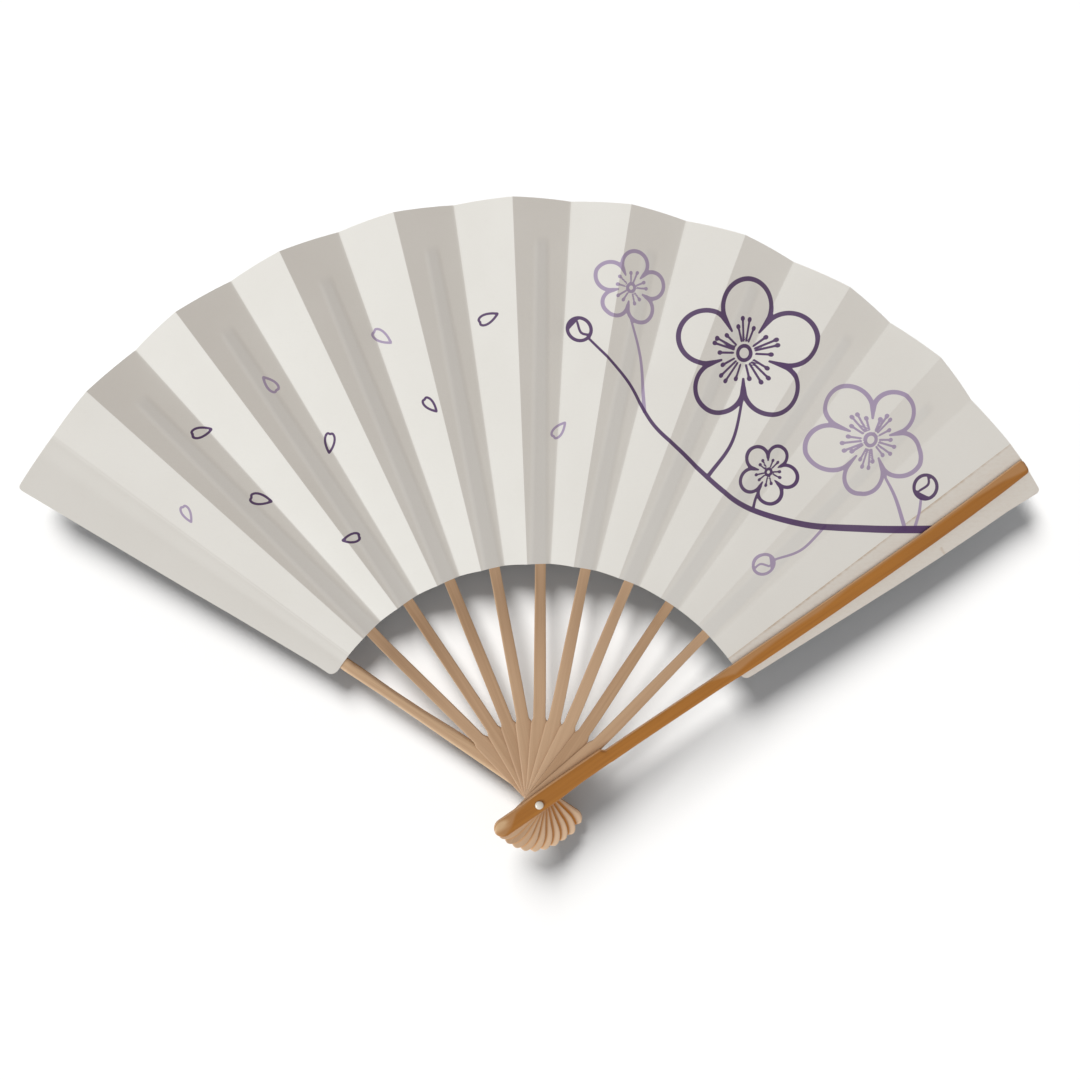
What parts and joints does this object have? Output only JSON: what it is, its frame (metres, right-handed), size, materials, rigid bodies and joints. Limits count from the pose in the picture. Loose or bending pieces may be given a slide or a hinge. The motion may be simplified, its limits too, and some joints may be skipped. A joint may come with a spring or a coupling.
{
  "type": "folding fan",
  "caption": "Open folding hand fan: bamboo ribs and lacquered guards turning on one rivet, with a pleated paper leaf that folds flat as the fan closes.",
  "frame": {"origin": "on the rivet's axis, at the flat rear end of the rivet, the lowest face of the fan", "axes": "Z is the rivet's axis, up towards the front guard; +Y is the open fan's line of symmetry, from the rivet to the leaf; +X is to the right, where the front guard lies"},
  "size_m": [0.4296, 0.2742, 0.023],
  "materials": {
    "lacquered_bamboo": "satin lacquer",
    "bamboo": "smooth, unlacquered",
    "paper": "matt",
    "ivory": "polished"
  },
  "bodies": {
    "rear_guard": {"rear_guard": "lacquered_bamboo", "leaf_rear_end_panel": "paper", "rivet_pin": "ivory", "rivet_collar": "ivory"},
    "front_guard": {"front_guard": "lacquered_bamboo", "leaf_front_end_panel": "paper"},
    "rib_01": {"rib_01": "bamboo"},
    "rib_02": {"rib_02": "bamboo"},
    "rib_03": {"rib_03": "bamboo"},
    "rib_04": {"rib_04": "bamboo"},
    "rib_05": {"rib_05": "bamboo"},
    "rib_06": {"rib_06": "bamboo"},
    "rib_07": {"rib_07": "bamboo"},
    "rib_08": {"rib_08": "bamboo"},
    "rib_09": {"rib_09": "bamboo"},
    "stick_panel_01": {"leaf_stick_panel_01": "paper", "rib_slip_01": "bamboo"},
    "stick_panel_02": {"leaf_stick_panel_02": "paper", "rib_slip_02": "bamboo"},
    "stick_panel_03": {"leaf_stick_panel_03": "paper", "rib_slip_03": "bamboo"},
    "stick_panel_04": {"leaf_stick_panel_04": "paper", "rib_slip_04": "bamboo"},
    "stick_panel_05": {"leaf_stick_panel_05": "paper", "rib_slip_05": "bamboo"},
    "stick_panel_06": {"leaf_stick_panel_06": "paper", "rib_slip_06": "bamboo"},
    "stick_panel_07": {"leaf_stick_panel_07": "paper", "rib_slip_07": "bamboo"},
    "stick_panel_08": {"leaf_stick_panel_08": "paper", "rib_slip_08": "bamboo"},
    "stick_panel_09": {"leaf_stick_panel_09": "paper", "rib_slip_09": "bamboo"},
    "free_panel_00": {"leaf_free_panel_00": "paper"},
    "free_panel_01": {"leaf_free_panel_01": "paper"},
    "free_panel_02": {"leaf_free_panel_02": "paper"},
    "free_panel_03": {"leaf_free_panel_03": "paper"},
    "free_panel_04": {"leaf_free_panel_04": "paper"},
    "free_panel_05": {"leaf_free_panel_05": "paper"},
    "free_panel_06": {"leaf_free_panel_06": "paper"},
    "free_panel_07": {"leaf_free_panel_07": "paper"},
    "free_panel_08": {"leaf_free_panel_08": "paper"},
    "free_panel_09": {"leaf_free_panel_09": "paper"}
  },
  "joints": [
    {"name": "front_guard_pivot", "type": "hinge", "parent": "rear_guard", "child": "front_guard", "pos_m": [0, 0, 0.0188], "axis": [0, 0, 1], "range_deg": [0, 110.7]},
    {"name": "rib_01_pivot", "type": "hinge", "parent": "rear_guard", "child": "rib_01", "pos_m": [0, 0, 0.0053], "axis": [0, 0, 1], "range_deg": [0, 11.07]},
    {"name": "rib_02_pivot", "type": "hinge", "parent": "rear_guard", "child": "rib_02", "pos_m": [0, 0, 0.0068], "axis": [0, 0, 1], "range_deg": [0, 22.14]},
    {"name": "rib_03_pivot", "type": "hinge", "parent": "rear_guard", "child": "rib_03", "pos_m": [0, 0, 0.0083], "axis": [0, 0, 1], "range_deg": [0, 33.21]},
    {"name": "rib_04_pivot", "type": "hinge", "parent": "rear_guard", "child": "rib_04", "pos_m": [0, 0, 0.0098], "axis": [0, 0, 1], "range_deg": [0, 44.28]},
    {"name": "rib_05_pivot", "type": "hinge", "parent": "rear_guard", "child": "rib_05", "pos_m": [0, 0, 0.0113], "axis": [0, 0, 1], "range_deg": [0, 55.35]},
    {"name": "rib_06_pivot", "type": "hinge", "parent": "rear_guard", "child": "rib_06", "pos_m": [0, 0, 0.0128], "axis": [0, 0, 1], "range_deg": [0, 66.42]},
    {"name": "rib_07_pivot", "type": "hinge", "parent": "rear_guard", "child": "rib_07", "pos_m": [0, 0, 0.0143], "axis": [0, 0, 1], "range_deg": [0, 77.49]},
    {"name": "rib_08_pivot", "type": "hinge", "parent": "rear_guard", "child": "rib_08", "pos_m": [0, 0, 0.0158], "axis": [0, 0, 1], "range_deg": [0, 88.56]},
    {"name": "rib_09_pivot", "type": "hinge", "parent": "rear_guard", "child": "rib_09", "pos_m": [0, 0, 0.0173], "axis": [0, 0, 1], "range_deg": [0, 99.63]},
    {"name": "stick_panel_01_twist", "type": "hinge", "parent": "rib_01", "child": "stick_panel_01", "pos_m": [-0.07086, 0.07267, 0.0053], "axis": [-0.6982, 0.7159, 0], "range_deg": [-22, 0]},
    {"name": "stick_panel_02_twist", "type": "hinge", "parent": "rib_02", "child": "stick_panel_02", "pos_m": [-0.05559, 0.08492, 0.0068], "axis": [-0.5477, 0.8367, 0], "range_deg": [-22, 0]},
    {"name": "stick_panel_03_twist", "type": "hinge", "parent": "rib_03", "child": "stick_panel_03", "pos_m": [-0.03825, 0.09402, 0.0083], "axis": [-0.3769, 0.9263, 0], "range_deg": [-22, 0]},
    {"name": "stick_panel_04_twist", "type": "hinge", "parent": "rib_04", "child": "stick_panel_04", "pos_m": [-0.01949, 0.09961, 0.0098], "axis": [-0.192, 0.9814, 0], "range_deg": [-22, 0]},
    {"name": "stick_panel_05_twist", "type": "hinge", "parent": "rib_05", "child": "stick_panel_05", "pos_m": [0, 0.1015, 0.0113], "axis": [0, 1, 0], "range_deg": [-22, 0]},
    {"name": "stick_panel_06_twist", "type": "hinge", "parent": "rib_06", "child": "stick_panel_06", "pos_m": [0.01949, 0.09961, 0.0128], "axis": [0.192, 0.9814, 0], "range_deg": [-22, 0]},
    {"name": "stick_panel_07_twist", "type": "hinge", "parent": "rib_07", "child": "stick_panel_07", "pos_m": [0.03825, 0.09402, 0.0143], "axis": [0.3769, 0.9263, 0], "range_deg": [-22, 0]},
    {"name": "stick_panel_08_twist", "type": "hinge", "parent": "rib_08", "child": "stick_panel_08", "pos_m": [0.05559, 0.08492, 0.0158], "axis": [0.5477, 0.8367, 0], "range_deg": [-22, 0]},
    {"name": "stick_panel_09_twist", "type": "hinge", "parent": "rib_09", "child": "stick_panel_09", "pos_m": [0.07086, 0.07267, 0.0173], "axis": [0.6982, 0.7159, 0], "range_deg": [-22, 0]},
    {"name": "free_panel_00_fold", "type": "hinge", "parent": "rear_guard", "child": "free_panel_00", "pos_m": [-0.08061, 0.06167, 0.00455], "axis": [-0.7942, 0.6076, 0], "range_deg": [-168.57, 0], "deforming": ["leaf_free_panel_00"]},
    {"name": "free_panel_01_fold", "type": "hinge", "parent": "stick_panel_01", "child": "free_panel_01", "pos_m": [-0.06706, 0.07619, 0.00402], "axis": [-0.6627, 0.7487, -0.0195], "range_deg": [-136.06, 0], "deforming": ["leaf_free_panel_01"]},
    {"name": "free_panel_02_fold", "type": "hinge", "parent": "stick_panel_02", "child": "free_panel_02", "pos_m": [-0.05118, 0.08764, 0.00552], "axis": [-0.5066, 0.862, -0.0195], "range_deg": [-136.06, 0], "deforming": ["leaf_free_panel_02"]},
    {"name": "free_panel_03_fold", "type": "hinge", "parent": "stick_panel_03", "child": "free_panel_03", "pos_m": [-0.0334, 0.09584, 0.00702], "axis": [-0.3316, 0.9432, -0.0195], "range_deg": [-136.06, 0], "deforming": ["leaf_free_panel_03"]},
    {"name": "free_panel_04_fold", "type": "hinge", "parent": "stick_panel_04", "child": "free_panel_04", "pos_m": [-0.01438, 0.10047, 0.00852], "axis": [-0.1444, 0.9893, -0.0195], "range_deg": [-136.05, 0], "deforming": ["leaf_free_panel_04"]},
    {"name": "free_panel_05_fold", "type": "hinge", "parent": "stick_panel_05", "child": "free_panel_05", "pos_m": [0.00518, 0.10136, 0.01002], "axis": [0.0483, 0.9986, -0.0195], "range_deg": [-136.06, 0], "deforming": ["leaf_free_panel_05"]},
    {"name": "free_panel_06_fold", "type": "hinge", "parent": "stick_panel_06", "child": "free_panel_06", "pos_m": [0.02455, 0.09848, 0.01152], "axis": [0.2391, 0.9708, -0.0195], "range_deg": [-136.06, 0], "deforming": ["leaf_free_panel_06"]},
    {"name": "free_panel_07_fold", "type": "hinge", "parent": "stick_panel_07", "child": "free_panel_07", "pos_m": [0.043, 0.09194, 0.01302], "axis": [0.4211, 0.9068, -0.0195], "range_deg": [-136.06, 0], "deforming": ["leaf_free_panel_07"]},
    {"name": "free_panel_08_fold", "type": "hinge", "parent": "stick_panel_08", "child": "free_panel_08", "pos_m": [0.05985, 0.08197, 0.01452], "axis": [0.5874, 0.8091, -0.0195], "range_deg": [-136.06, 0], "deforming": ["leaf_free_panel_08"]},
    {"name": "free_panel_09_fold", "type": "hinge", "parent": "stick_panel_09", "child": "free_panel_09", "pos_m": [0.07448, 0.06895, 0.01602], "axis": [0.7318, 0.6813, -0.0195], "range_deg": [-146.65, 0], "deforming": ["leaf_free_panel_09"]}
  ],
  "couplings": [
    {"joint": "rib_01_pivot", "follows": "front_guard_pivot", "ratio": 0.1},
    {"joint": "rib_02_pivot", "follows": "front_guard_pivot", "ratio": 0.2},
    {"joint": "rib_03_pivot", "follows": "front_guard_pivot", "ratio": 0.3},
    {"joint": "rib_04_pivot", "follows": "front_guard_pivot", "ratio": 0.4},
    {"joint": "rib_05_pivot", "follows": "front_guard_pivot", "ratio": 0.5},
    {"joint": "rib_06_pivot", "follows": "front_guard_pivot", "ratio": 0.6},
    {"joint": "rib_07_pivot", "follows": "front_guard_pivot", "ratio": 0.7},
    {"joint": "rib_08_pivot", "follows": "front_guard_pivot", "ratio": 0.8},
    {"joint": "rib_09_pivot", "follows": "front_guard_pivot", "ratio": 0.9},
    {"joint": "stick_panel_01_twist", "follows": "front_guard_pivot", "ratio": -0.19874},
    {"joint": "stick_panel_02_twist", "follows": "front_guard_pivot", "ratio": -0.19874},
    {"joint": "stick_panel_03_twist", "follows": "front_guard_pivot", "ratio": -0.19874},
    {"joint": "stick_panel_04_twist", "follows": "front_guard_pivot", "ratio": -0.19874},
    {"joint": "stick_panel_05_twist", "follows": "front_guard_pivot", "ratio": -0.19874},
    {"joint": "stick_panel_06_twist", "follows": "front_guard_pivot", "ratio": -0.19874},
    {"joint": "stick_panel_07_twist", "follows": "front_guard_pivot", "ratio": -0.19874},
    {"joint": "stick_panel_08_twist", "follows": "front_guard_pivot", "ratio": -0.19874},
    {"joint": "stick_panel_09_twist", "follows": "front_guard_pivot", "ratio": -0.19874},
    {"joint": "free_panel_00_fold", "follows": "front_guard_pivot", "ratio": -1.5227},
    {"joint": "free_panel_01_fold", "follows": "front_guard_pivot", "ratio": -1.229},
    {"joint": "free_panel_02_fold", "follows": "front_guard_pivot", "ratio": -1.229},
    {"joint": "free_panel_03_fold", "follows": "front_guard_pivot", "ratio": -1.229},
    {"joint": "free_panel_04_fold", "follows": "front_guard_pivot", "ratio": -1.229},
    {"joint": "free_panel_05_fold", "follows": "front_guard_pivot", "ratio": -1.229},
    {"joint": "free_panel_06_fold", "follows": "front_guard_pivot", "ratio": -1.229},
    {"joint": "free_panel_07_fold", "follows": "front_guard_pivot", "ratio": -1.229},
    {"joint": "free_panel_08_fold", "follows": "front_guard_pivot", "ratio": -1.229},
    {"joint": "free_panel_09_fold", "follows": "front_guard_pivot", "ratio": -1.3247}
  ]
}
